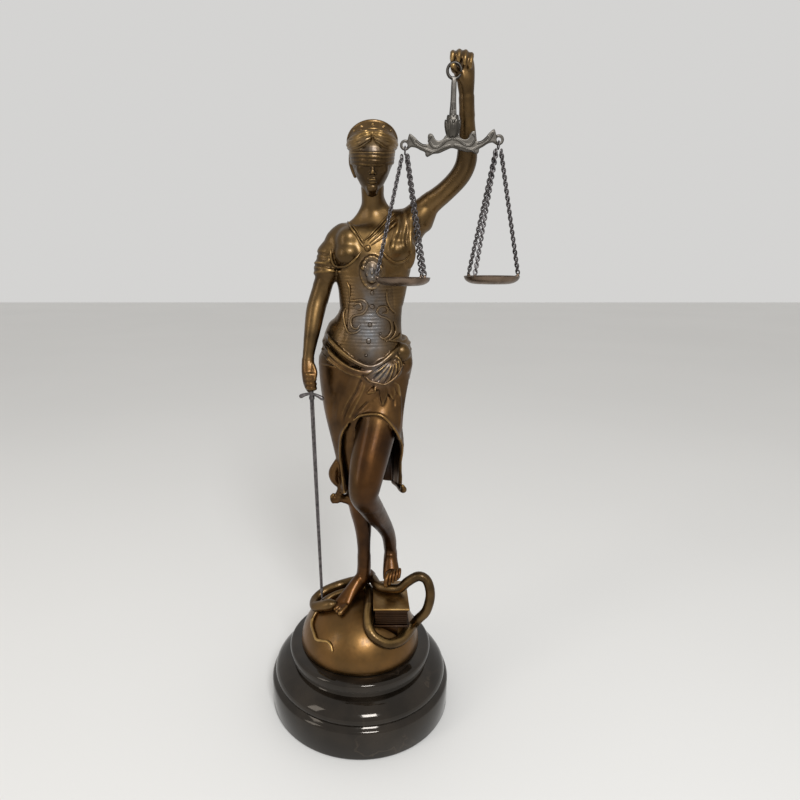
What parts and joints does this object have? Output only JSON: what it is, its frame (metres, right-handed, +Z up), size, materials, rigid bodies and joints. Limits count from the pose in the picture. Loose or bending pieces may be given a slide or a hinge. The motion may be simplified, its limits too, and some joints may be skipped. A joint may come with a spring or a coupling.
{
  "type": "lady justice statue",
  "caption": "Bronze blindfolded woman holding up scales and resting a sword, standing on a globe with a serpent and a book, on a round stone plinth.",
  "frame": {"origin": "centre of the plinth's flat underside", "axes": "+Z up, -Y the side the figure faces, +X her left side"},
  "size_m": [0.2181, 0.181, 0.5958],
  "materials": {
    "bronze": "waxed brown patina over cast bronze, worn golden on the raised parts",
    "pewter_bronze": "grey patina, polished where it stands out",
    "pan_bronze": "dark brown patina, satin",
    "dark_steel": "blackened steel",
    "black_marble": "polished black marble with a few pale flecks"
  },
  "bodies": {
    "root": {"plinth": "black_marble", "bronze_figure_on_globe": "bronze", "sword": "dark_steel", "scales_beam": "pewter_bronze", "scale_pan_left": "pan_bronze", "scale_pan_right": "pan_bronze", "hanger_ring_left": "dark_steel", "hanger_ring_right": "dark_steel", "chain_left_1": "dark_steel", "chain_left_2": "dark_steel", "chain_left_3": "dark_steel", "chain_right_1": "dark_steel", "chain_right_2": "dark_steel", "chain_right_3": "dark_steel"}
  },
  "joints": []
}
